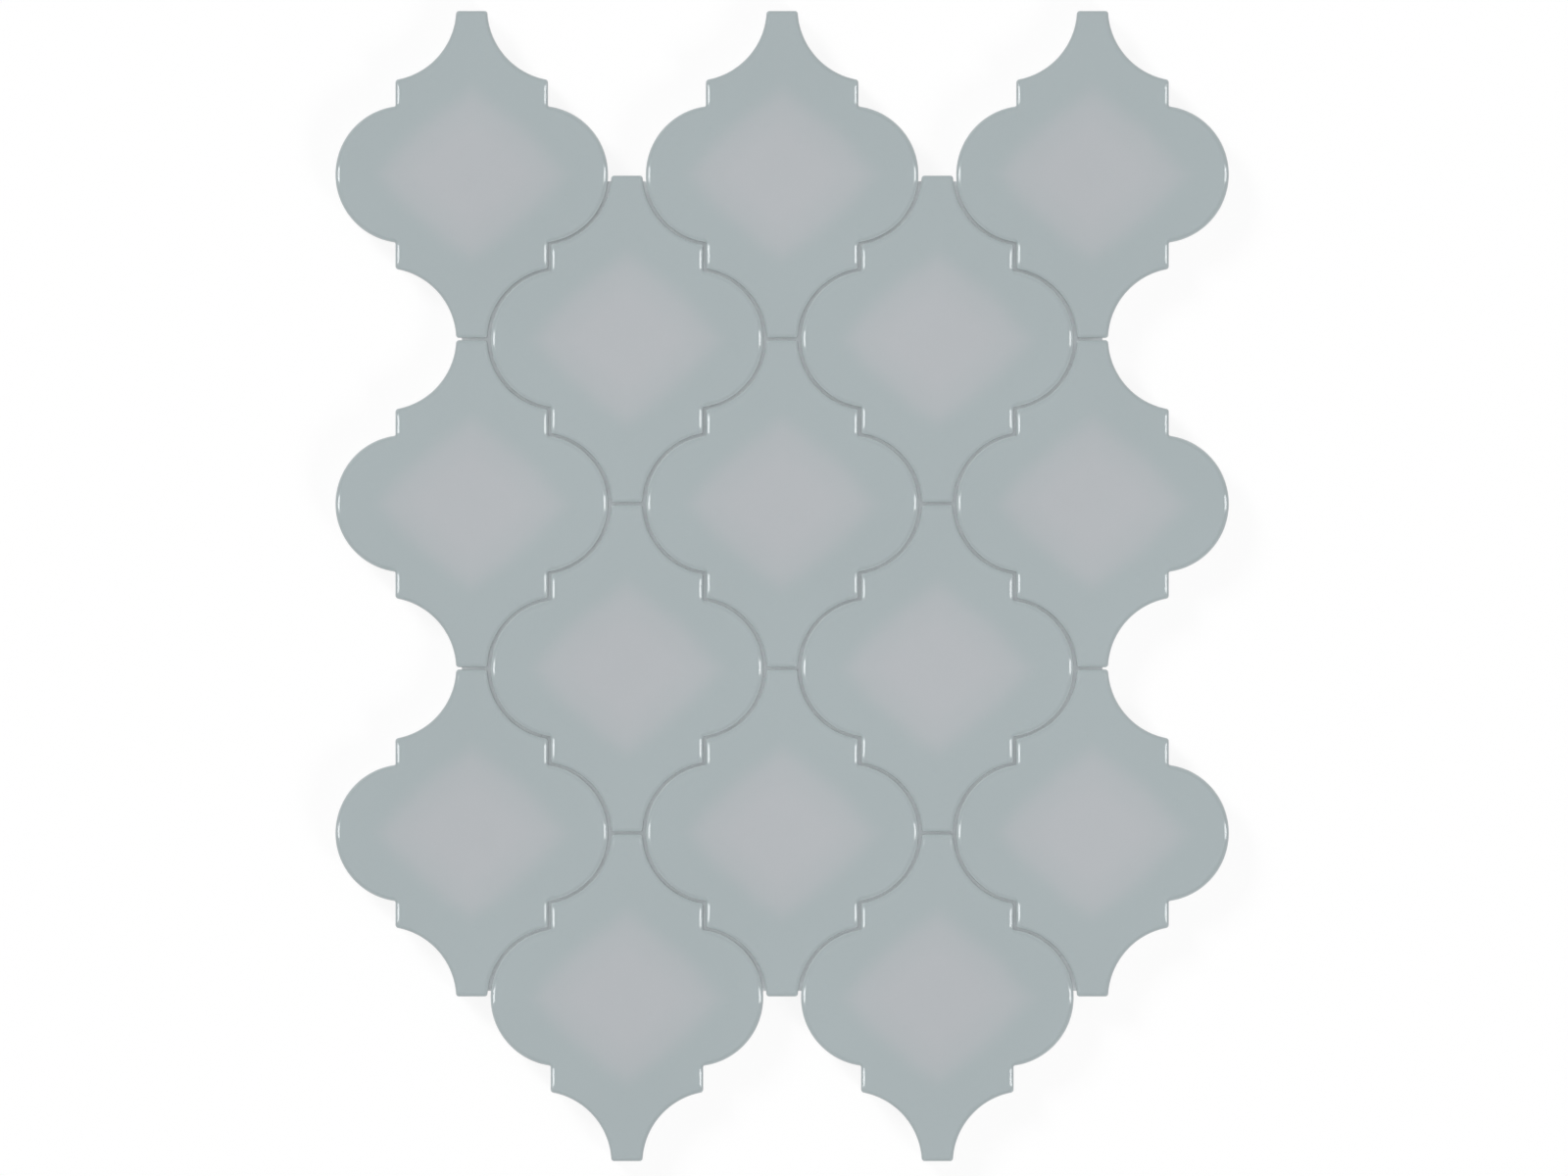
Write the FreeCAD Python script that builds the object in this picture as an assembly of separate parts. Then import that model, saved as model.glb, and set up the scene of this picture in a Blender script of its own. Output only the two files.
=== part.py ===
import FreeCAD, Part
import math
import os

# One sheet of lantern (arabesque) mosaic tiles, lying face up on its mesh backing.
# All sizes are in millimetres. The sheet is centred on X and Y and its backing rests on Z = 0.
# +X runs along a row, +Y goes up a column and +Z points out of the glazed faces.

# A tile seen from above: round lobes left and right, a square-ended neck at the top and the
# bottom, hollows that follow the lobes of the neighbours, and an upright step between the two
TILE_WIDTH = 81.4           # over both lobes
NECK_WIDTH = 9.3
LOBE_RADIUS = 20.5
STEP_HEIGHT = 7.9           # of the upright step between a shoulder and a lobe

# A tile in section
TILE_THICKNESS = 8.0
SIDE_DRAFT = 0.25           # how far each side draws in from the face down to the back
EDGE_WIDTH = 0.7            # how far the eased edge of the face reaches in from the outline
EDGE_DROP = 0.6             # how far that edge falls below the face

# Joints between neighbouring tiles
JOINT_END = 0.7             # between two neck ends
JOINT_SIDE = 1.0            # between a neck and the lobe beside it
JOINT_SHOULDER = 0.7        # between a shoulder and the lobe that rests over it
JOINT_STEP = 0.8            # between two upright steps

# Layout of the sheet
ROW_COUNT = 6
LONG_ROW_TILE_COUNT = 3     # in the first, third and fifth rows; the others hold one less

# Mesh backing
BACKING_THICKNESS = 0.5
BACKING_SIDE_REACH = 3.0    # how far it passes the middles of the outer columns' tiles
BACKING_END_INSET = 2.0     # how far it stops short of the middles of the end rows' tiles


def other_side(hypotenuse, side):
    """The third side of a right-angled triangle."""
    return math.sqrt(hypotenuse**2 - side**2)


# Places of the outline that follow from the sizes above
PITCH_ACROSS = TILE_WIDTH + NECK_WIDTH + 2 * JOINT_SIDE
LOBE_X = TILE_WIDTH / 2 - LOBE_RADIUS
STEP_X = (PITCH_ACROSS / 2 - JOINT_STEP) / 2
SHOULDER_Y = other_side(LOBE_RADIUS, STEP_X - LOBE_X) + STEP_HEIGHT

# Each hollow is an arc round the neighbour's lobe, set back from it by the joint
HOLLOW_RADIUS = LOBE_RADIUS + JOINT_SIDE
HOLLOW_X = PITCH_ACROSS / 2 - LOBE_X
HOLLOW_Y = SHOULDER_Y + other_side(HOLLOW_RADIUS, HOLLOW_X - STEP_X)
ROW_PITCH = HOLLOW_Y - JOINT_SIDE + JOINT_SHOULDER
HALF_LENGTH = ROW_PITCH - JOINT_END / 2


def middle_of_arc(centre, radius, start, end):
    """The point of a circle that lies halfway between two others on it."""
    turn = math.atan2(start[1] + end[1] - 2 * centre[1], start[0] + end[0] - 2 * centre[0])
    return (centre[0] + radius * math.cos(turn), centre[1] + radius * math.sin(turn))


def outline(inset, height):
    """The tile's closed outline at one height, drawn in by inset all the way round."""
    lobe_radius = LOBE_RADIUS - inset
    hollow_radius = HOLLOW_RADIUS + inset
    step_x = STEP_X - inset
    neck_y = HALF_LENGTH - inset

    # The upper right quarter, from the neck down to the lobe's tip
    neck = (HOLLOW_X - other_side(hollow_radius, HOLLOW_Y - neck_y), neck_y)
    shoulder = (step_x, HOLLOW_Y - other_side(hollow_radius, HOLLOW_X - step_x))
    hollow = middle_of_arc((HOLLOW_X, HOLLOW_Y), hollow_radius, neck, shoulder)
    foot = (step_x, other_side(lobe_radius, step_x - LOBE_X))
    tip = (LOBE_X + lobe_radius, 0)
    lobe = middle_of_arc((LOBE_X, 0), lobe_radius, foot, tip)

    def point(place, flip_x, flip_y):
        return FreeCAD.Vector(place[0] * flip_x, place[1] * flip_y, height)

    def line(start, start_flips, end, end_flips):
        return Part.makeLine(point(start, *start_flips), point(end, *end_flips))

    def arc(start, middle, end, flips):
        return Part.Arc(point(start, *flips), point(middle, *flips), point(end, *flips)).toShape()

    upper_right, lower_right, lower_left, upper_left = (1, 1), (1, -1), (-1, -1), (-1, 1)
    return Part.Wire([
        line(neck, upper_left, neck, upper_right),
        arc(neck, hollow, shoulder, upper_right),
        line(shoulder, upper_right, foot, upper_right),
        arc(foot, lobe, tip, upper_right),
        arc(tip, lobe, foot, lower_right),
        line(foot, lower_right, shoulder, lower_right),
        arc(shoulder, hollow, neck, lower_right),
        line(neck, lower_right, neck, lower_left),
        arc(neck, hollow, shoulder, lower_left),
        line(shoulder, lower_left, foot, lower_left),
        arc(foot, lobe, tip, lower_left),
        arc(tip, lobe, foot, upper_left),
        line(foot, upper_left, shoulder, upper_left),
        arc(shoulder, hollow, neck, upper_left),
    ])


def lantern_tile():
    """One tile, its back on Z = 0: drafted sides up to the eased edge of the face."""
    back = outline(SIDE_DRAFT, 0)
    widest = outline(0, TILE_THICKNESS - EDGE_DROP)
    face = outline(EDGE_WIDTH, TILE_THICKNESS)
    solid = True
    ruled = True
    return Part.makeLoft([back, widest, face], solid, ruled)


def tile_places():
    """Each tile's name and the place of its middle, row by row from the top left."""
    top_row_y = (ROW_COUNT - 1) * ROW_PITCH / 2
    places = {}
    for row in range(ROW_COUNT):
        tiles_in_row = LONG_ROW_TILE_COUNT - row % 2
        first_x = -(tiles_in_row - 1) * PITCH_ACROSS / 2
        for place in range(tiles_in_row):
            name = f"tile_row{row + 1}_{place + 1}"
            x = first_x + place * PITCH_ACROSS
            y = top_row_y - row * ROW_PITCH
            places[name] = FreeCAD.Vector(x, y, BACKING_THICKNESS)
    return places


def mesh_backing():
    """The sheet of adhesive-soaked mesh that the tiles' backs are stuck to."""
    width = (LONG_ROW_TILE_COUNT - 1) * PITCH_ACROSS + 2 * BACKING_SIDE_REACH
    length = (ROW_COUNT - 1) * ROW_PITCH - 2 * BACKING_END_INSET
    corner = FreeCAD.Vector(-width / 2, -length / 2, 0)
    return Part.makeBox(width, length, BACKING_THICKNESS, corner)


os.makedirs("parts", exist_ok=True)
mesh_backing().exportStep("parts/mesh_backing.step")
tile = lantern_tile()
for name, place in tile_places().items():
    tile.translated(place).exportStep(f"parts/{name}.step")
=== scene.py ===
import math

import bmesh
import bpy
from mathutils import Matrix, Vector


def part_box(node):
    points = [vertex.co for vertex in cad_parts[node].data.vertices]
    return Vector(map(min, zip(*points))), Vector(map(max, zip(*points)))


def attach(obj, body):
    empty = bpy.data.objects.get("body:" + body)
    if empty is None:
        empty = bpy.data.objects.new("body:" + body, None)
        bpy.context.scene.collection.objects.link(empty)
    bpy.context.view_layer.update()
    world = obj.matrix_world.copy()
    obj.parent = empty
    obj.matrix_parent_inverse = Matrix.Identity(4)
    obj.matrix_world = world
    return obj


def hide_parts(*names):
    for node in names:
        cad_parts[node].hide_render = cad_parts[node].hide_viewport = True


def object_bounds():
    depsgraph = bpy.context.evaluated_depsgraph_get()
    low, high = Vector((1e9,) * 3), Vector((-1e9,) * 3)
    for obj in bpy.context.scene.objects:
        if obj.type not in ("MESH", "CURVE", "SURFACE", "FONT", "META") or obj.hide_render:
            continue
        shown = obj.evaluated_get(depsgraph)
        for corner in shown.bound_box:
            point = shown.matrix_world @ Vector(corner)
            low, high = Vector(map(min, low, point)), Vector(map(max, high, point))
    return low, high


# One sheet of glazed lantern tiles on its mesh backing, lying face up and seen from straight above.
# Everything is in metres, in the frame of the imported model.

MM = 0.001

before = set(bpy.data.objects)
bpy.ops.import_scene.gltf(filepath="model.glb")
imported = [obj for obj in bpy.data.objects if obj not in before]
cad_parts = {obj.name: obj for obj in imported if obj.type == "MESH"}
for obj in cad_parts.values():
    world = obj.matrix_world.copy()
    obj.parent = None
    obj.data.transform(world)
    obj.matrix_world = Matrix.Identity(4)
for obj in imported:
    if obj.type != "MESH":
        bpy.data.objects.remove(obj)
cad_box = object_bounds()

TILE_NODES = sorted(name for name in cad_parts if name.startswith("tile_"))
BACKING_NODE = "mesh_backing"
scene = bpy.context.scene

# The tile's plan, as in the part's source
NECK_WIDTH = 9.3 * MM
LOBE_RADIUS = 20.5 * MM
STEP_HEIGHT = 7.9 * MM
SIDE_DRAFT = 0.25 * MM
JOINT_END = 0.7 * MM
JOINT_SIDE = 1.0 * MM
JOINT_SHOULDER = 0.7 * MM
JOINT_STEP = 0.8 * MM

# Small radii in plan: at the neck's corners, at the shoulders and at the foot of each step
NECK_CORNER = 0.9 * MM
SHOULDER_CORNER = 1.0 * MM
FOOT_CORNER = 0.5 * MM
SHOULDER_GROWTH = 0.6       # how fast the shoulder's radius grows as the outline is drawn in
FOOT_GROWTH = 1.85          # the same for the foot's

# The rounded edge of the glazed face: a quarter of an ellipse
EDGE_REACH = 1.3 * MM
EDGE_DROP = 1.0 * MM
EDGE_RINGS = 12
LOBE_EDGE_SHIFT = 0.18 * MM # how much further in the middle of its curve lies round the lobes
FLAT_START = 0.5 * MM       # from the curve's end to the first ring of the flat face
FLAT_RING_SCALES = (0.86, 0.7, 0.5, 0.28, 0.1)

# The glaze ends in a thin wavy rim part of the way down the side, and the bare body is below it
GLAZE_RIM_HEIGHT = 2.6 * MM
GLAZE_THICKNESS = 0.07 * MM
RIM_WAVE = 0.4 * MM         # how far the rim strays up and down
RIM_LIP_SETBACK, RIM_LIP_RISE = 0.015 * MM, 0.04 * MM
RIM_ROUND_RISE = 0.14 * MM  # from the rim up to where its rounding ends
LOW_SIDE_HEIGHT, HIGH_SIDE_HEIGHT = 4.6 * MM, 6.2 * MM
LOW_SIDE_FOLLOW = 0.2       # how far the lower of these two follows the wavy rim
BACK_EDGE = 0.2 * MM
RIM_WAVES = ((2, 0.4), (5, 0.3), (11, 0.2), (23, 0.12), (41, 0.06))  # turns round the tile, and size
RIM_WAVE_PHASE = 2.399      # radians from wave to wave and from variant to variant

# Shallow keys pressed into the tile's back
KEY_PITCH = 6.0 * MM
KEY_WIDTH = 3.6 * MM
KEY_DEPTH = 0.45 * MM
KEY_DRAFT = 0.2 * MM
KEY_MARGIN = 3.2 * MM
KEY_GAP = 1.6 * MM          # from the back's middle line to the keys on each side of it
KEY_ROWS = 7                # above and below the middle row, where the back is wide enough
SHORTEST_KEY = 2.2          # in radii
KEY_PROBES = (-1.7, -1, -0.5, 0, 0.5, 1, 1.7)  # in radii, up the back, where its width is measured
KEY_SECTION = ((0.0, 0.0), (0.5, 0.45), (1.0, 0.9), (1.8, 1.0))  # inwards in drafts, up in depths
KEY_END_STEPS = 8

# Mesh backing: leno-woven glass yarns under a film of adhesive
YARN_PITCH = 6.0 * MM
WEFT_HALF_WIDTH = 0.55 * MM
WEFT_HALF_HEIGHT = 0.08 * MM
WARP_HALF_WIDTH = 0.2 * MM
WARP_HALF_HEIGHT = 0.07 * MM
WARP_SPREAD = 0.34 * MM     # how far each warp of a pair swings out to its side
WARP_LIFT = 1.2             # how far it rises or dips at a weft, in its half heights
WARP_STEPS = 4              # points along it in each pitch
YARN_SIDES = 6
WEFT_SWAY, WEFT_SWAY_LENGTH, WEFT_SWAY_PHASE = 0.12 * MM, 17 * MM, 1.7
WARP_SWAY, WARP_SWAY_LENGTH, WARP_SWAY_PHASE = 0.1 * MM, 23 * MM, 2.3
YARN_LEVEL = 0.17 * MM
WEFT_FRAY, WARP_FRAY = 0.7 * MM, 0.6 * MM  # how far cut ends stand out at most
FILM_LEVEL = 0.34 * MM
FILM_OVER_YARN = 0.16 * MM  # how low the film comes on a yarn
FILM_ON_WEFT, FILM_ON_WARP = 0.75 * MM, 0.65 * MM  # how far to each side it is drawn down
FILM_SWELL = 0.02 * MM
FILM_SWELL_ACROSS, FILM_SWELL_ALONG = 9 * MM, 11 * MM
FILM_STATIONS = (-3.0 * MM, -1.0 * MM, -0.35 * MM, 0.35 * MM, 1.0 * MM)  # from a yarn's middle

tile_low, tile_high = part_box(TILE_NODES[0])
tile_width = tile_high.x - tile_low.x
tile_height = tile_high.z - tile_low.z


def other_side(hypotenuse, side):
    """The third side of a right-angled triangle."""
    return math.sqrt(hypotenuse**2 - side**2)


pitch_across = tile_width + NECK_WIDTH + 2 * JOINT_SIDE
lobe_x = tile_width / 2 - LOBE_RADIUS
step_x = (pitch_across / 2 - JOINT_STEP) / 2
hollow_radius = LOBE_RADIUS + JOINT_SIDE
hollow_x = pitch_across / 2 - lobe_x
shoulder_y = other_side(LOBE_RADIUS, step_x - lobe_x) + STEP_HEIGHT
hollow_y = shoulder_y + other_side(hollow_radius, hollow_x - step_x)
half_length = hollow_y - JOINT_SIDE + JOINT_SHOULDER - JOINT_END / 2


# Outline of a tile

def arc(centre, radius, start, end, count):
    """Points along an arc, its start included and its end left out."""
    points = []
    for i in range(count):
        turn = start + (end - start) * i / count
        points.append((centre[0] + radius * math.cos(turn), centre[1] + radius * math.sin(turn)))
    return points


def line(start, end, count):
    """Points along a straight line, its start included and its end left out."""
    return [
        (start[0] + (end[0] - start[0]) * i / count, start[1] + (end[1] - start[1]) * i / count)
        for i in range(count)
    ]


def direction(start, end):
    """The angle, from +X, of the line from one point to another."""
    return math.atan2(end[1] - start[1], end[0] - start[0])


def quarter_outline(inset):
    """The upper right quarter, from the middle of the neck's end down to the lobe's tip."""
    edge_shift = LOBE_EDGE_SHIFT * math.sin(math.pi * min(inset / EDGE_REACH, 1.0))
    lobe_r = LOBE_RADIUS - inset - edge_shift
    hollow_r = hollow_radius + inset
    neck_top = half_length - inset
    step = step_x - inset
    shoulder_r = SHOULDER_CORNER + SHOULDER_GROWTH * inset
    foot_r = FOOT_CORNER + FOOT_GROWTH * inset

    # Centres of the arcs, each tangent to what lies on its two sides
    hollow = (hollow_x, hollow_y)
    lobe = (lobe_x, 0.0)
    neck_y = neck_top - NECK_CORNER
    neck = (hollow_x - other_side(hollow_r + NECK_CORNER, hollow_y - neck_y), neck_y)
    shoulder_c = step - shoulder_r
    shoulder = (shoulder_c, hollow_y - other_side(hollow_r + shoulder_r, hollow_x - shoulder_c))
    foot_c = step + foot_r
    foot = (foot_c, other_side(lobe_r + foot_r, foot_c - lobe_x))

    up, right, left, turn = math.pi / 2, 0.0, math.pi, 2 * math.pi
    points = line((0.0, neck_top), (neck[0], neck_top), 3)
    points += arc(neck, NECK_CORNER, up, direction(neck, hollow), 6)
    hollow_start, hollow_end = direction(hollow, neck) % turn, direction(hollow, shoulder) % turn
    points += arc(hollow, hollow_r, hollow_start, hollow_end, 30)
    points += arc(shoulder, shoulder_r, direction(shoulder, hollow), right, 6)
    points += line((step, shoulder[1]), (step, foot[1]), 4)
    points += arc(foot, foot_r, left, direction(foot, lobe) % turn, 6)
    points += arc(lobe, lobe_r, direction(lobe, foot), right, 34)
    points.append((lobe_x + lobe_r, 0.0))
    return points


def outline(inset):
    """The whole outline, clockwise from the middle of the upper neck's end."""
    quarter = quarter_outline(inset)
    upper_right = quarter[:-1]
    lower_right = [(x, -y) for x, y in reversed(quarter[1:])]
    half = upper_right + lower_right
    return half + [(-x, -y) for x, y in half]


def wave(share, seed):
    """A smooth closed wave round the outline, from about -1 to 1."""
    total = 0.0
    for step, (turns, size) in enumerate(RIM_WAVES):
        phase = RIM_WAVE_PHASE * (step + 1) * (seed + 1)
        total += size * math.sin(2 * math.pi * turns * share + phase)
    return total


def tile_rings(seed):
    """Each ring of the tile's surface, from the back's rim up to the face, as a list of points."""
    edge_start = tile_height - EDGE_DROP

    def drafted(height):
        return SIDE_DRAFT * (1 - height / edge_start)

    # (inset, height, how far the ring's height follows the wavy glaze rim)
    levels = [
        (drafted(0) + GLAZE_THICKNESS + BACK_EDGE, 0.0, 0.0),
        (drafted(0) + GLAZE_THICKNESS, BACK_EDGE, 0.0),
        (drafted(GLAZE_RIM_HEIGHT / 2) + GLAZE_THICKNESS, GLAZE_RIM_HEIGHT / 2, 0.0),
        (drafted(GLAZE_RIM_HEIGHT) + GLAZE_THICKNESS, GLAZE_RIM_HEIGHT, 1.0),
        (drafted(GLAZE_RIM_HEIGHT) + RIM_LIP_SETBACK, GLAZE_RIM_HEIGHT + RIM_LIP_RISE, 1.0),
        (drafted(GLAZE_RIM_HEIGHT), GLAZE_RIM_HEIGHT + RIM_ROUND_RISE, 1.0),
        (drafted(LOW_SIDE_HEIGHT), LOW_SIDE_HEIGHT, LOW_SIDE_FOLLOW),
        (drafted(HIGH_SIDE_HEIGHT), HIGH_SIDE_HEIGHT, 0.0),
    ]
    for i in range(EDGE_RINGS + 1):
        turn = math.pi / 2 * i / EDGE_RINGS
        inset = EDGE_REACH * (1 - math.cos(turn))
        levels.append((inset, edge_start + EDGE_DROP * math.sin(turn), 0.0))
    levels.append((EDGE_REACH + FLAT_START, tile_height, 0.0))

    rings = []
    for inset, height, follow in levels:
        points = outline(inset)
        rings.append([
            (x, y, height + RIM_WAVE * follow * wave(i / len(points), seed))
            for i, (x, y) in enumerate(points)
        ])
    # The flat face, in rings drawn towards its middle
    edge_of_flat = rings[-1]
    for scale in FLAT_RING_SCALES:
        rings.append([(x * scale, y * scale, tile_height) for x, y, z in edge_of_flat])
    return rings


def half_width_at(y):
    """How far the outline reaches from the middle line at a height up the tile."""
    points = quarter_outline(SIDE_DRAFT)
    for (x1, y1), (x2, y2) in zip(points, points[1:]):
        if y2 <= abs(y) <= y1 and y1 > y2:
            return x1 + (x2 - x1) * (y1 - abs(y)) / (y1 - y2)
    return 0.0


def key_loops():
    """The two ends and the middle line of each key pressed into the back."""
    loops = []
    radius = KEY_WIDTH / 2
    for row in range(-KEY_ROWS, KEY_ROWS + 1):
        y = row * KEY_PITCH
        reach = min(half_width_at(y + k * radius) for k in KEY_PROBES) - KEY_MARGIN
        if reach < KEY_GAP + SHORTEST_KEY * radius:
            continue
        for side in (-1, 1):
            inner, outer = KEY_GAP + radius, reach - radius
            ends = sorted((side * inner, side * outer))
            loops.append((ends[0], ends[1], y))
    return loops


def stadium(start, end, y, radius, height):
    """A closed loop of points round a slot with round ends."""
    points = []
    for i in range(KEY_END_STEPS + 1):
        turn = math.pi / 2 + math.pi * i / KEY_END_STEPS
        points.append((start + radius * math.cos(turn), y + radius * math.sin(turn), height))
    for i in range(KEY_END_STEPS + 1):
        turn = -math.pi / 2 + math.pi * i / KEY_END_STEPS
        points.append((end + radius * math.cos(turn), y + radius * math.sin(turn), height))
    return points


GLAZE_SLOT, BODY_SLOT = 0, 1
RIM_RING = 4                # the first ring of the glaze
SHARP_ANGLE = math.radians(38)


def tile_mesh(seed):
    """One tile. Each seed gives another wave to the end of its glaze."""
    mesh = bmesh.new()
    rings = [[mesh.verts.new(p) for p in ring] for ring in tile_rings(seed)]
    count = len(rings[0])
    for level, (low, high) in enumerate(zip(rings, rings[1:])):
        for i in range(count):
            j = (i + 1) % count
            face = mesh.faces.new((low[i], high[i], high[j], low[j]))
            face.material_index = BODY_SLOT if level < RIM_RING else GLAZE_SLOT
            face.smooth = True
    middle = mesh.verts.new((0.0, 0.0, tile_height))
    last = rings[-1]
    for i in range(count):
        face = mesh.faces.new((last[i], middle, last[(i + 1) % count]))
        face.smooth = True

    # The back: a flat land round the pressed keys
    edges = [mesh.edges.get((rings[0][i], rings[0][(i + 1) % count])) for i in range(count)]
    for start, end, y in key_loops():
        radius = KEY_WIDTH / 2
        levels = [(radius - KEY_DRAFT * inwards, KEY_DEPTH * up) for inwards, up in KEY_SECTION]
        loops = [[mesh.verts.new(p) for p in stadium(start, end, y, r, h)] for r, h in levels]
        size = len(loops[0])
        for low, high in zip(loops, loops[1:]):
            for i in range(size):
                j = (i + 1) % size
                face = mesh.faces.new((low[i], low[j], high[j], high[i]))
                face.material_index = BODY_SLOT
                face.smooth = True
        floor_face = mesh.faces.new(loops[-1])
        floor_face.material_index = BODY_SLOT
        edges += [mesh.edges.get((loops[0][i], loops[0][(i + 1) % size])) for i in range(size)]
    filled = bmesh.ops.triangle_fill(mesh, use_beauty=True, use_dissolve=False, edges=edges)
    for item in filled["geom"]:
        if isinstance(item, bmesh.types.BMFace):
            item.material_index = BODY_SLOT
    bmesh.ops.recalc_face_normals(mesh, faces=mesh.faces)
    for edge in mesh.edges:
        if len(edge.link_faces) == 2 and edge.calc_face_angle(0.0) > SHARP_ANGLE:
            edge.smooth = False
    data = bpy.data.meshes.new(f"lantern_tile_{seed + 1}")
    mesh.to_mesh(data)
    mesh.free()
    return data


# Mesh backing

def new_piece(name, data, materials):
    for material in materials:
        data.materials.append(material)
    piece = bpy.data.objects.new(name, data)
    scene.collection.objects.link(piece)
    return piece


def sweep(vertices, faces, path, across, half_width, half_height):
    """Adds a closed flat tube along a path. across is the level direction of its width."""
    sides = YARN_SIDES
    first = len(vertices)
    for centre in path:
        for k in range(sides):
            turn = 2 * math.pi * k / sides
            wide, high = half_width * math.cos(turn), half_height * math.sin(turn)
            x, y = centre[0] + across[0] * wide, centre[1] + across[1] * wide
            vertices.append((x, y, centre[2] + high))
    for step in range(len(path) - 1):
        for k in range(sides):
            a, b = first + step * sides + k, first + step * sides + (k + 1) % sides
            faces.append((a, b, b + sides, a + sides))
    faces.append(tuple(first + k for k in reversed(range(sides))))
    last = first + (len(path) - 1) * sides
    faces.append(tuple(last + k for k in range(sides)))


def ragged(number, most):
    """A different small length for each number, always the same one."""
    return most * (0.5 + 0.5 * math.sin(12.9898 * number + 4.1))


def yarn_lines(low, high):
    """Where the yarns lie between two edges, one in every pitch."""
    count = int((high - low) / YARN_PITCH)
    start = (low + high) / 2 - (count - 1) * YARN_PITCH / 2
    return [start + i * YARN_PITCH for i in range(count)]


def yarn_mesh(low, high):
    """The weave: single wefts along the rows, and warps in pairs that cross between them."""
    vertices, faces = [], []
    wefts, warps = yarn_lines(low.y, high.y), yarn_lines(low.x, high.x)
    for number, y in enumerate(wefts):
        left = low.x - ragged(number, WEFT_FRAY)
        right = high.x + ragged(number + 50, WEFT_FRAY)
        stations = [left] + [x for warp in warps for x in (warp - YARN_PITCH / 2, warp)][1:] + [right]
        path = []
        for x in stations:
            sway = WEFT_SWAY * math.sin(x / WEFT_SWAY_LENGTH + number * WEFT_SWAY_PHASE)
            path.append((x, y + sway, YARN_LEVEL))
        sweep(vertices, faces, path, (0, 1), WEFT_HALF_WIDTH, WEFT_HALF_HEIGHT)
    for number, x in enumerate(warps):
        for side in (-1, 1):
            bottom = low.y - ragged(number * 2 + side, WARP_FRAY)
            top = high.y + ragged(number * 3 + side, WARP_FRAY)
            stations = [bottom]
            for i in range(-1, len(wefts)):
                base = wefts[0] + i * YARN_PITCH
                stations += [base + YARN_PITCH * k / WARP_STEPS for k in range(WARP_STEPS)]
            stations = [y for y in stations if y == bottom or bottom < y < top] + [top]
            path = []
            for y in stations:
                turn = math.pi * (y - wefts[0]) / YARN_PITCH
                over = side * math.cos(turn)
                sway = WARP_SWAY * math.sin(y / WARP_SWAY_LENGTH + number * WARP_SWAY_PHASE)
                lift = side * WARP_HALF_HEIGHT * WARP_LIFT * abs(math.cos(turn))
                path.append((x + sway + WARP_SPREAD * over, y, YARN_LEVEL + lift))
            sweep(vertices, faces, path, (1, 0), WARP_HALF_WIDTH, WARP_HALF_HEIGHT)
    data = bpy.data.meshes.new("backing_yarns")
    data.from_pydata(vertices, [], faces)
    data.polygons.foreach_set("use_smooth", [True] * len(data.polygons))
    return data


def film_mesh(low, high):
    """The adhesive: flat where the tiles are stuck to it, and drawn down round the yarns below."""
    wefts, warps = yarn_lines(low.y, high.y), yarn_lines(low.x, high.x)

    def stations(lines, start, end):
        places = {start, end}
        for centre in lines:
            for offset in FILM_STATIONS:
                place = centre + offset
                if start < place < end:
                    places.add(place)
        return sorted(places)

    xs, ys = stations(warps, low.x, high.x), stations(wefts, low.y, high.y)
    top = high.z
    vertices, faces = [], []
    rows, columns = len(ys), len(xs)
    for y in ys:
        near_weft = math.exp(-(min(abs(y - w) for w in wefts) / FILM_ON_WEFT) ** 2)
        for x in xs:
            near_warp = math.exp(-(min(abs(x - w) for w in warps) / FILM_ON_WARP) ** 2)
            swell = FILM_SWELL * math.sin(x / FILM_SWELL_ACROSS + 1.3)
            swell *= math.sin(y / FILM_SWELL_ALONG + 0.4)
            z = FILM_LEVEL + swell - (FILM_LEVEL - FILM_OVER_YARN) * max(near_weft, near_warp)
            vertices.append((x, y, z))
    under = len(vertices)
    for y in ys:
        for x in xs:
            vertices.append((x, y, top))
    for r in range(rows - 1):
        for c in range(columns - 1):
            a = r * columns + c
            faces.append((a, a + columns, a + columns + 1, a + 1))
            b = under + a
            faces.append((b, b + 1, b + columns + 1, b + columns))
    border = list(range(columns)) + [r * columns + columns - 1 for r in range(1, rows)]
    border += [(rows - 1) * columns + c for c in range(columns - 2, -1, -1)]
    border += [r * columns for r in range(rows - 2, 0, -1)]
    for a, b in zip(border, border[1:] + border[:1]):
        faces.append((a, b, under + b, under + a))
    data = bpy.data.meshes.new("backing_adhesive")
    data.from_pydata(vertices, [], faces)
    data.polygons.foreach_set("use_smooth", [True] * len(data.polygons))
    return data


# Materials

def srgb(red, green, blue):
    """A colour given in 0 to 255 as it should look, turned into linear values."""
    def linear(value):
        value = value / 255
        return value / 12.92 if value <= 0.04045 else ((value + 0.055) / 1.055) ** 2.4
    return (linear(red), linear(green), linear(blue), 1.0)


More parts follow.
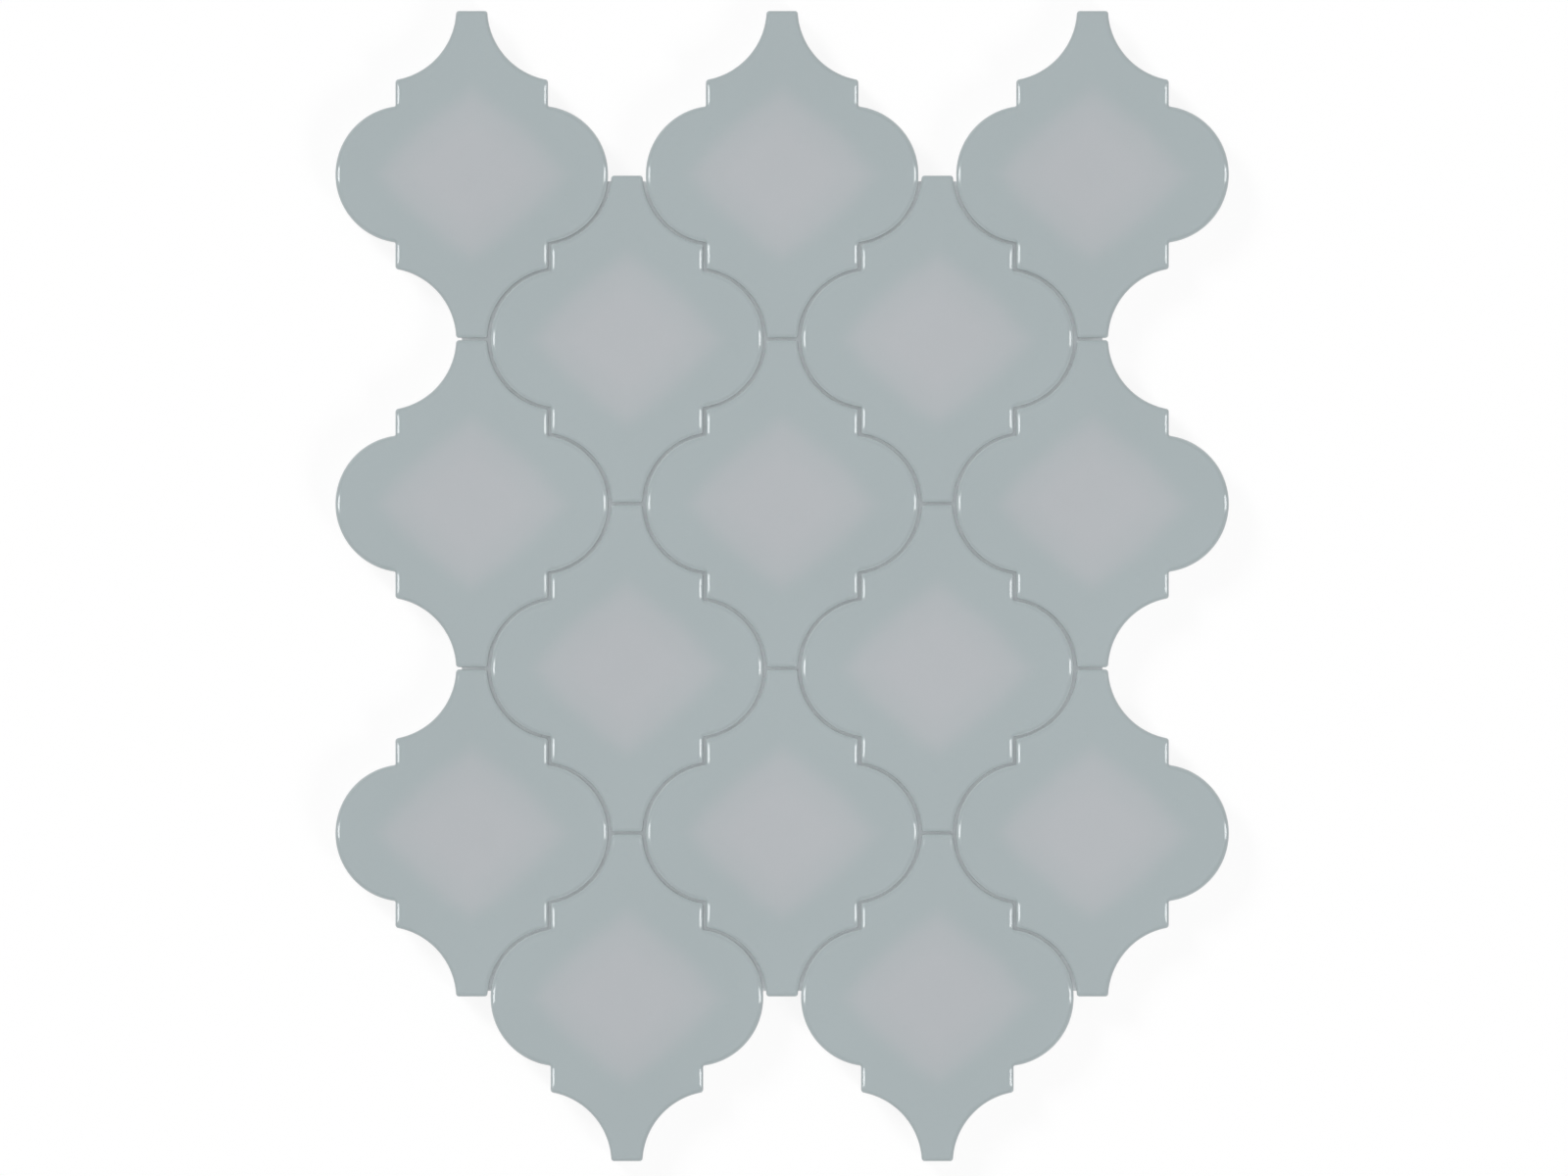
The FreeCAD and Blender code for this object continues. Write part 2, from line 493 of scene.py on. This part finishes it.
class Nodes:
    """Short ways to add and join the nodes of one material."""

    def __init__(self, name):
        self.material = bpy.data.materials.new(name)
        self.material.use_nodes = True
        self.tree = self.material.node_tree
        self.shader = self.tree.nodes["Principled BSDF"]

    def link(self, source, target):
        self.tree.links.new(source, target)

    def put(self, value, socket):
        """Joins a node's output to a socket, or sets a plain value on it."""
        if hasattr(value, "links"):
            self.link(value, socket)
        else:
            socket.default_value = value

    def add(self, kind, **settings):
        node = self.tree.nodes.new(kind)
        for key, value in settings.items():
            setattr(node, key, value)
        return node

    def math(self, operation, first, second=0.0):
        node = self.add("ShaderNodeMath", operation=operation)
        self.put(first, node.inputs[0])
        self.put(second, node.inputs[1])
        return node.outputs[0]

    def ramp(self, value, low, high, to_low=0.0, to_high=1.0, smooth=True):
        kind = "SMOOTHERSTEP" if smooth else "LINEAR"
        node = self.add("ShaderNodeMapRange", interpolation_type=kind)
        self.put(value, node.inputs["Value"])
        node.inputs["From Min"].default_value = low
        node.inputs["From Max"].default_value = high
        node.inputs["To Min"].default_value = to_low
        node.inputs["To Max"].default_value = to_high
        return node.outputs["Result"]

    def noise(self, vector, scale, detail=2.0, roughness=0.5):
        node = self.add("ShaderNodeTexNoise")
        self.link(vector, node.inputs["Vector"])
        node.inputs["Scale"].default_value = scale
        node.inputs["Detail"].default_value = detail
        node.inputs["Roughness"].default_value = roughness
        return node.outputs["Fac"]

    def mix(self, share, first, second, blend="MIX"):
        node = self.add("ShaderNodeMix", data_type="RGBA", blend_type=blend)
        self.put(share, node.inputs["Factor"])
        self.put(first, node.inputs[6])
        self.put(second, node.inputs[7])
        return node.outputs[2]

    def bump(self, height, distance, normal=None):
        node = self.add("ShaderNodeBump")
        node.inputs["Strength"].default_value = 1.0
        node.inputs["Distance"].default_value = distance
        self.link(height, node.inputs["Height"])
        if normal is not None:
            self.link(normal, node.inputs["Normal"])
        return node.outputs["Normal"]

    def finish(self, **values):
        for name, value in values.items():
            self.put(value, self.shader.inputs[name.replace("_", " ")])
        return self.material


EDGE_COLOUR = srgb(163.8, 174.4, 176.8)
MIDDLE_COLOUR = srgb(176.8, 180.8, 184.4)
# Pale edge colour: partly the thin glaze over the pale body, partly painted light that offsets the
# shade in the joints
THIN_GLAZE_AND_PAINTED_LIGHT_COLOUR = srgb(218, 225, 226)
THIN_GLAZE_AND_PAINTED_LIGHT_SHARE = 0.5
HALF_FADE_ACROSS, HALF_FADE_ALONG = 25.2 * MM, 22.8 * MM  # where the diamond has faded by half
DIAMOND_BEND = 1.2          # 1 is a diamond with straight sides and 2 an oval


def glaze_material():
    """Glossy glaze, paler and warmer in a soft diamond in the middle of each tile."""
    n = Nodes("glaze")
    place = n.add("ShaderNodeTexCoord").outputs["Object"]
    parts = n.add("ShaderNodeSeparateXYZ")
    n.link(place, parts.inputs[0])
    across = n.math("DIVIDE", n.math("ABSOLUTE", parts.outputs["X"]), HALF_FADE_ACROSS)
    along = n.math("DIVIDE", n.math("ABSOLUTE", parts.outputs["Y"]), HALF_FADE_ALONG)
    across_power = n.math("POWER", across, DIAMOND_BEND)
    along_power = n.math("POWER", along, DIAMOND_BEND)
    reach = n.math("POWER", n.math("ADD", across_power, along_power), 1 / DIAMOND_BEND)
    cloud = n.noise(place, 90.0, 3.0)
    reach = n.math("ADD", reach, n.math("MULTIPLY", n.math("SUBTRACT", cloud, 0.5), 0.1))
    slow_fade, main_fade = n.ramp(reach, 0.42, 0.95, 0.0, 0.25), n.ramp(reach, 0.8, 1.32, 0.0, 0.75)
    share = n.math("ADD", slow_fade, main_fade)
    colour = n.mix(share, MIDDLE_COLOUR, EDGE_COLOUR)
    # The glaze thins and lets the pale body through where it turns down at the edge. The same
    # lightening is also painted light: it brightens the rounded edge where the joints shade it.
    drop = n.math("SUBTRACT", tile_height, parts.outputs["Z"])
    thin_glaze_and_painted_light = n.ramp(drop, 0.15 * MM, 0.8 * MM, 0.0, THIN_GLAZE_AND_PAINTED_LIGHT_SHARE)
    colour = n.mix(thin_glaze_and_painted_light, colour, THIN_GLAZE_AND_PAINTED_LIGHT_COLOUR)
    # Slow changes of tone over the sheet, and a fine fleck
    world_place = n.add("ShaderNodeNewGeometry").outputs["Position"]
    tone = n.ramp(n.noise(world_place, 14.0, 2.0), 0.3, 0.7, 0.985, 1.015, smooth=False)
    fleck = n.ramp(n.noise(place, 2600.0, 2.0), 0.62, 0.8, 1.0, 0.97)
    level = n.math("MULTIPLY", tone, fleck)
    shade = n.add("ShaderNodeCombineColor")
    for k in range(3):
        n.link(level, shade.inputs[k])
    colour = n.mix(1.0, colour, shade.outputs[0], blend="MULTIPLY")
    # The glaze's faint orange-peel, and fine haze in its gloss
    peel = n.noise(place, 330.0, 2.0)
    swell = n.noise(place, 70.0, 1.0)
    normal = n.bump(swell, 0.03 * MM)
    normal = n.bump(peel, 0.004 * MM, normal=normal)
    rough = n.ramp(n.noise(place, 180.0, 3.0), 0.3, 0.7, 0.055, 0.09, smooth=False)
    return n.finish(Base_Color=colour, Roughness=rough, IOR=1.52, Normal=normal)


def body_material():
    """Bare fired clay, matt and fine-grained, faintly stained."""
    n = Nodes("fired_body")
    place = n.add("ShaderNodeTexCoord").outputs["Object"]
    stain = n.ramp(n.noise(place, 110.0, 4.0, 0.6), 0.35, 0.7)
    grain = n.noise(place, 2400.0, 3.0, 0.6)
    colour = n.mix(stain, srgb(226, 226, 222), srgb(213, 212, 206))
    colour = n.mix(n.ramp(grain, 0.6, 0.78, 0.0, 0.5), colour, srgb(176, 173, 166))
    normal = n.bump(grain, 0.03 * MM)
    rough = n.ramp(grain, 0.3, 0.7, 0.78, 0.9, smooth=False)
    return n.finish(Base_Color=colour, Roughness=rough, Normal=normal)


def yarn_material():
    """White glass yarn, soaked and slightly shiny."""
    n = Nodes("glass_yarn")
    place = n.add("ShaderNodeTexCoord").outputs["Object"]
    strand = n.noise(place, 3200.0, 2.0)
    patch = n.noise(place, 60.0, 2.0)
    colour = n.mix(n.ramp(patch, 0.35, 0.65), srgb(236, 236, 231), srgb(223, 225, 221))
    colour = n.mix(n.ramp(strand, 0.5, 0.75, 0.0, 0.4), colour, srgb(196, 199, 197))
    normal = n.bump(strand, 0.04 * MM)
    rough = n.ramp(strand, 0.3, 0.7, 0.45, 0.62, smooth=False)
    return n.finish(Base_Color=colour, Roughness=rough, Normal=normal)


def film_material():
    """Set adhesive, pale and matt, with small pits and cloudy patches."""
    n = Nodes("adhesive_film")
    place = n.add("ShaderNodeTexCoord").outputs["Object"]
    cloud = n.noise(place, 75.0, 4.0)
    pit = n.noise(place, 900.0, 2.0)
    colour = n.mix(n.ramp(cloud, 0.3, 0.7), srgb(234, 242, 246), srgb(226, 234, 238))
    colour = n.mix(n.ramp(pit, 0.66, 0.78, 0.0, 0.5), colour, srgb(184, 192, 195))
    normal = n.bump(pit, 0.05 * MM)
    rough = n.ramp(cloud, 0.3, 0.7, 0.5, 0.68, smooth=False)
    return n.finish(Base_Color=colour, Roughness=rough, Normal=normal)


def seen_directly(nodes, links):
    """1 for what the camera sees, also in a reflection or through glass, and 0 for the rest."""
    path = nodes.new("ShaderNodeLightPath")
    total = path.outputs["Is Camera Ray"]
    for name in ("Is Glossy Ray", "Is Transmission Ray"):
        plus = nodes.new("ShaderNodeMath")
        plus.operation = "ADD"
        plus.use_clamp = True
        links.new(total, plus.inputs[0])
        links.new(path.outputs[name], plus.inputs[1])
        total = plus.outputs[0]
    return total


FLOOR_GLOW_SHARE = 0.8
FLOOR_TONE = 1.0
FLOOR_BOUNCE = 0.45         # the tone that it has for the light it sends back up


def floor_material():
    """White to the camera and in reflections, with a share left to the lamps, so that shadows stay."""
    material = bpy.data.materials.new("floor")
    material.use_nodes = True
    nodes, links = material.node_tree.nodes, material.node_tree.links
    nodes.clear()
    output = nodes.new("ShaderNodeOutputMaterial")
    seen = seen_directly(nodes, links)
    diffuse = nodes.new("ShaderNodeBsdfDiffuse")
    tone = nodes.new("ShaderNodeMapRange")
    tone.inputs["To Min"].default_value = FLOOR_BOUNCE
    tone.inputs["To Max"].default_value = FLOOR_TONE
    links.new(seen, tone.inputs["Value"])
    links.new(tone.outputs["Result"], diffuse.inputs["Color"])
    glow = nodes.new("ShaderNodeEmission")
    glow.inputs["Strength"].default_value = 1.0
    share = nodes.new("ShaderNodeMath")
    share.operation = "MULTIPLY"
    share.inputs[1].default_value = FLOOR_GLOW_SHARE
    mix = nodes.new("ShaderNodeMixShader")
    links.new(seen, share.inputs[0])
    links.new(share.outputs[0], mix.inputs[0])
    links.new(diffuse.outputs[0], mix.inputs[1])
    links.new(glow.outputs[0], mix.inputs[2])
    links.new(mix.outputs[0], output.inputs["Surface"])
    return material


# Pieces

glaze, body = glaze_material(), body_material()
TILE_VARIANTS = 3
tile_meshes = [tile_mesh(seed) for seed in range(TILE_VARIANTS)]
for data in tile_meshes:
    data.materials.append(glaze)
    data.materials.append(body)
for number, node in enumerate(TILE_NODES):
    low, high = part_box(node)
    name, data = node.replace("tile_", "glazed_tile_"), tile_meshes[number % TILE_VARIANTS]
    piece = bpy.data.objects.new(name, data)
    scene.collection.objects.link(piece)
    piece.location = ((low.x + high.x) / 2, (low.y + high.y) / 2, low.z)
    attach(piece, "root")
    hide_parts(node)

backing_low, backing_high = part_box(BACKING_NODE)
for name, data, material in (
    ("backing_yarns", yarn_mesh(backing_low, backing_high), yarn_material()),
    ("backing_adhesive", film_mesh(backing_low, backing_high), film_material()),
):
    piece = new_piece(name, data, [material])
    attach(piece, "root")
    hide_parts(BACKING_NODE)

# Floor
HALF_FLOOR = 15.0           # metres
FLOOR_GAP = 0.02 * MM       # below the backing
floor_mesh = bpy.data.meshes.new("floor")
floor_mesh.from_pydata(
    [(-HALF_FLOOR, -HALF_FLOOR, 0), (HALF_FLOOR, -HALF_FLOOR, 0),
     (HALF_FLOOR, HALF_FLOOR, 0), (-HALF_FLOOR, HALF_FLOOR, 0)],
    [], [(0, 1, 2, 3)],
)
floor = new_piece("floor", floor_mesh, [floor_material()])
floor.location.z = -FLOOR_GAP


# Light

LAMP_DISTANCE = 100.0       # metres, so far that every tile sees the lamps in one direction


def softbox(name, azimuth, elevation, half_turn_across, half_turn_up, radiance):
    """A far rectangular lamp that faces the sheet, its size given as angles seen from there.

    At a radiance of 1 it would look white.
    """
    width = 2 * LAMP_DISTANCE * math.tan(math.radians(half_turn_across))
    length = 2 * LAMP_DISTANCE * math.tan(math.radians(half_turn_up))
    data = bpy.data.lights.new(name, "AREA")
    data.shape = "RECTANGLE"
    data.size, data.size_y = width, length
    data.energy = radiance * math.pi * width * length
    rig = bpy.data.objects.new(name, data)
    scene.collection.objects.link(rig)
    a, e = math.radians(azimuth), math.radians(elevation)
    towards = Vector((math.cos(a) * math.cos(e), math.sin(a) * math.cos(e), math.sin(e)))
    rig.location = towards * LAMP_DISTANCE
    rig.rotation_euler = rig.location.to_track_quat("Z", "Y").to_euler()
    rig.visible_camera = False
    return rig


# Two tall softboxes, to the right and left, draw the bright strips along the tiles' edges. Each is
# a stack of panels that narrow towards the top, so that all of it reaches as far round the sheet.
STRIP_LOW, STRIP_HIGH = 36.0, 77.5     # degrees above the floor
STRIP_HALF_TURN = 6.3       # degrees round the sheet, each way
STRIP_TURN = 1.0            # degrees that both stand towards the top of the picture
STRIP_RADIANCE = 9.6
STRIP_PANELS = 6
half_panel = (STRIP_HIGH - STRIP_LOW) / STRIP_PANELS / 2
for side, azimuth in (("right", STRIP_TURN), ("left", 180 - STRIP_TURN)):
    for number in range(STRIP_PANELS):
        elevation = STRIP_LOW + (2 * number + 1) * half_panel
        across = STRIP_HALF_TURN * math.cos(math.radians(elevation))
        name = f"strip_{side}_{number + 1}"
        panel = softbox(name, azimuth, elevation, across, half_panel, STRIP_RADIANCE)
        panel.visible_diffuse = False

# Two softer lights, from the upper left and a weaker one from the lower right, shape the edges. The
# share is how much of the light on a level face comes from it.
BOX_ELEVATION = 30
BOX_HALF_TURN = 7.6
box_solid_angle = 4 * math.tan(math.radians(BOX_HALF_TURN)) ** 2
for name, azimuth, share in (("upper_left_box", 135, 0.16), ("lower_right_box", -45, 0.12)):
    radiance = share * math.pi / (box_solid_angle * math.sin(math.radians(BOX_ELEVATION)))
    box = softbox(name, azimuth, BOX_ELEVATION, BOX_HALF_TURN, BOX_HALF_TURN, radiance)
    box.visible_glossy = False

# The main light comes almost straight down, from slightly up and left, and reaches into the joints
SUN_SHARE = 0.35
SUN_TILT = math.radians(0.4)
SUN_WIDTH = math.radians(2.0)
sun_data = bpy.data.lights.new("main_light", "SUN")
sun_data.energy = SUN_SHARE * math.pi
sun_data.angle = SUN_WIDTH
sun = bpy.data.objects.new("main_light", sun_data)
scene.collection.objects.link(sun)
sun_side = math.sin(SUN_TILT) * math.sqrt(0.5)
towards_sun = Vector((-sun_side, sun_side, math.cos(SUN_TILT)))
sun.rotation_euler = towards_sun.to_track_quat("Z", "Y").to_euler()
sun.visible_glossy = False

# The rest of the light comes evenly from all round
WORLD_FILL = 0.37
world = bpy.data.worlds.new("world")
scene.world = world
world.use_nodes = True
nodes, links = world.node_tree.nodes, world.node_tree.links
background = nodes["Background"]
background.inputs["Color"].default_value = (1.0, 1.0, 1.0, 1.0)
level = nodes.new("ShaderNodeMapRange")
level.inputs["To Min"].default_value = WORLD_FILL
level.inputs["To Max"].default_value = 1.0
links.new(seen_directly(nodes, links), level.inputs["Value"])
links.new(level.outputs["Result"], background.inputs["Strength"])

# Camera, straight above and far away, so that the view has almost no perspective
PHOTO_WIDTH_PX, PHOTO_HEIGHT_PX = 1600, 1200
SHEET_CENTRE_PX = (798.1, 598.0)
SHEET_WIDTH_PX = 911.7
LENS_MM, SENSOR_MM = 1000.0, 36.0
px_per_metre = SHEET_WIDTH_PX / (cad_box[1].x - cad_box[0].x)
camera_data = bpy.data.cameras.new("camera")
camera_data.lens = LENS_MM
camera_data.sensor_width = SENSOR_MM
camera_data.clip_end = 100.0
camera = bpy.data.objects.new("camera", camera_data)
scene.collection.objects.link(camera)
camera.location = (
    (PHOTO_WIDTH_PX / 2 - SHEET_CENTRE_PX[0]) / px_per_metre,
    (SHEET_CENTRE_PX[1] - PHOTO_HEIGHT_PX / 2) / px_per_metre,
    cad_box[1].z + LENS_MM / SENSOR_MM * PHOTO_WIDTH_PX / px_per_metre,
)
scene.camera = camera
scene.view_settings.view_transform = "Standard"
